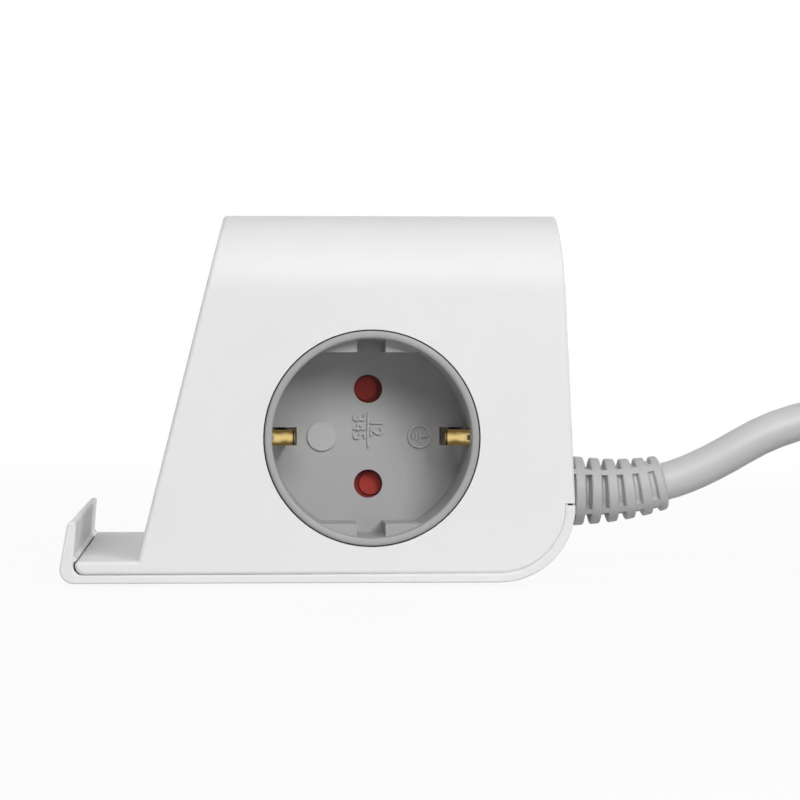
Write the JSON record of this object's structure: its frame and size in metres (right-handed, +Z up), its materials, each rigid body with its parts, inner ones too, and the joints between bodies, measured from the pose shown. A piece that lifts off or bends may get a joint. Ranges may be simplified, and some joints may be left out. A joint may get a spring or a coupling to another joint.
{
  "type": "desk socket strip",
  "caption": "White desk socket strip with a sloping device rest and front lip, earthed socket recesses in its end walls, and a grey mains cord with a ribbed strain relief and angled plug.",
  "frame": {"origin": "on the table, under the middle of the housing and base, without the cord", "axes": "+X from the front lip to the rear wall, +Y from the near end to the far end, +Z up"},
  "size_m": [0.3197, 0.1366, 0.073],
  "materials": {
    "white_shell": "fine satin moulding, slightly cool white",
    "grey_insert": "smooth mid grey moulding",
    "red_shutter": "dark red moulding",
    "brass": "bare rolled brass strip",
    "steel": "zinc plated",
    "carrier_plastic": "plain moulding",
    "brown_core": "smooth core insulation",
    "blue_core": "smooth core insulation",
    "earth_core": "smooth core insulation",
    "grey_relief": "satin flexible moulding",
    "grey_sheath": "satin flexible sheath",
    "grey_plug": "satin moulded plug",
    "plated_pins": "nickel plated brass",
    "foot_rubber": "dull rubber pad",
    "tie_fabric": "woven hook and loop strap"
  },
  "bodies": {
    "housing": {"upper_housing": "white_shell", "base_tray": "white_shell", "socket_insert_near": "grey_insert", "socket_insert_far": "grey_insert", "shutter_spring_near": "steel", "shutter_spring_far": "steel", "contact_carrier_near": "carrier_plastic", "contact_carrier_far": "carrier_plastic", "earth_clip_near": "brass", "earth_clip_far": "brass", "live_bar": "brass", "neutral_bar": "brass", "earth_bar": "brass", "live_wire": "brown_core", "neutral_wire": "blue_core", "earth_wire": "earth_core", "cord_inner_end": "grey_sheath", "cord_clamp": "carrier_plastic", "clamp_screws": "steel", "socket_screws": "steel", "housing_screws": "steel", "rubber_feet": "foot_rubber", "strain_relief": "grey_relief", "cord_tube": "grey_sheath", "cord_coil": "grey_sheath", "cord_tie": "tie_fabric", "cord_tail": "grey_sheath", "plug_body": "grey_plug", "plug_pins": "plated_pins", "plug_earth_contacts": "plated_pins"},
    "shutter_near": {"shutter_near": "red_shutter"},
    "shutter_far": {"shutter_far": "red_shutter"}
  },
  "joints": [
    {"name": "shutter_near_turn", "type": "hinge", "parent": "housing", "child": "shutter_near", "pos_m": [0.01045, -0.0341, 0.02905], "axis": [0, -1, 0], "range_deg": [0, 42], "stiffness_Nm_per_rad": 0.002, "springref_deg": -8.59, "deforming": ["shutter_spring_near"]},
    {"name": "shutter_far_turn", "type": "hinge", "parent": "housing", "child": "shutter_far", "pos_m": [0.01045, 0.0341, 0.02905], "axis": [0, 1, 0], "range_deg": [0, 42], "stiffness_Nm_per_rad": 0.002, "springref_deg": -8.59, "deforming": ["shutter_spring_far"]}
  ]
}
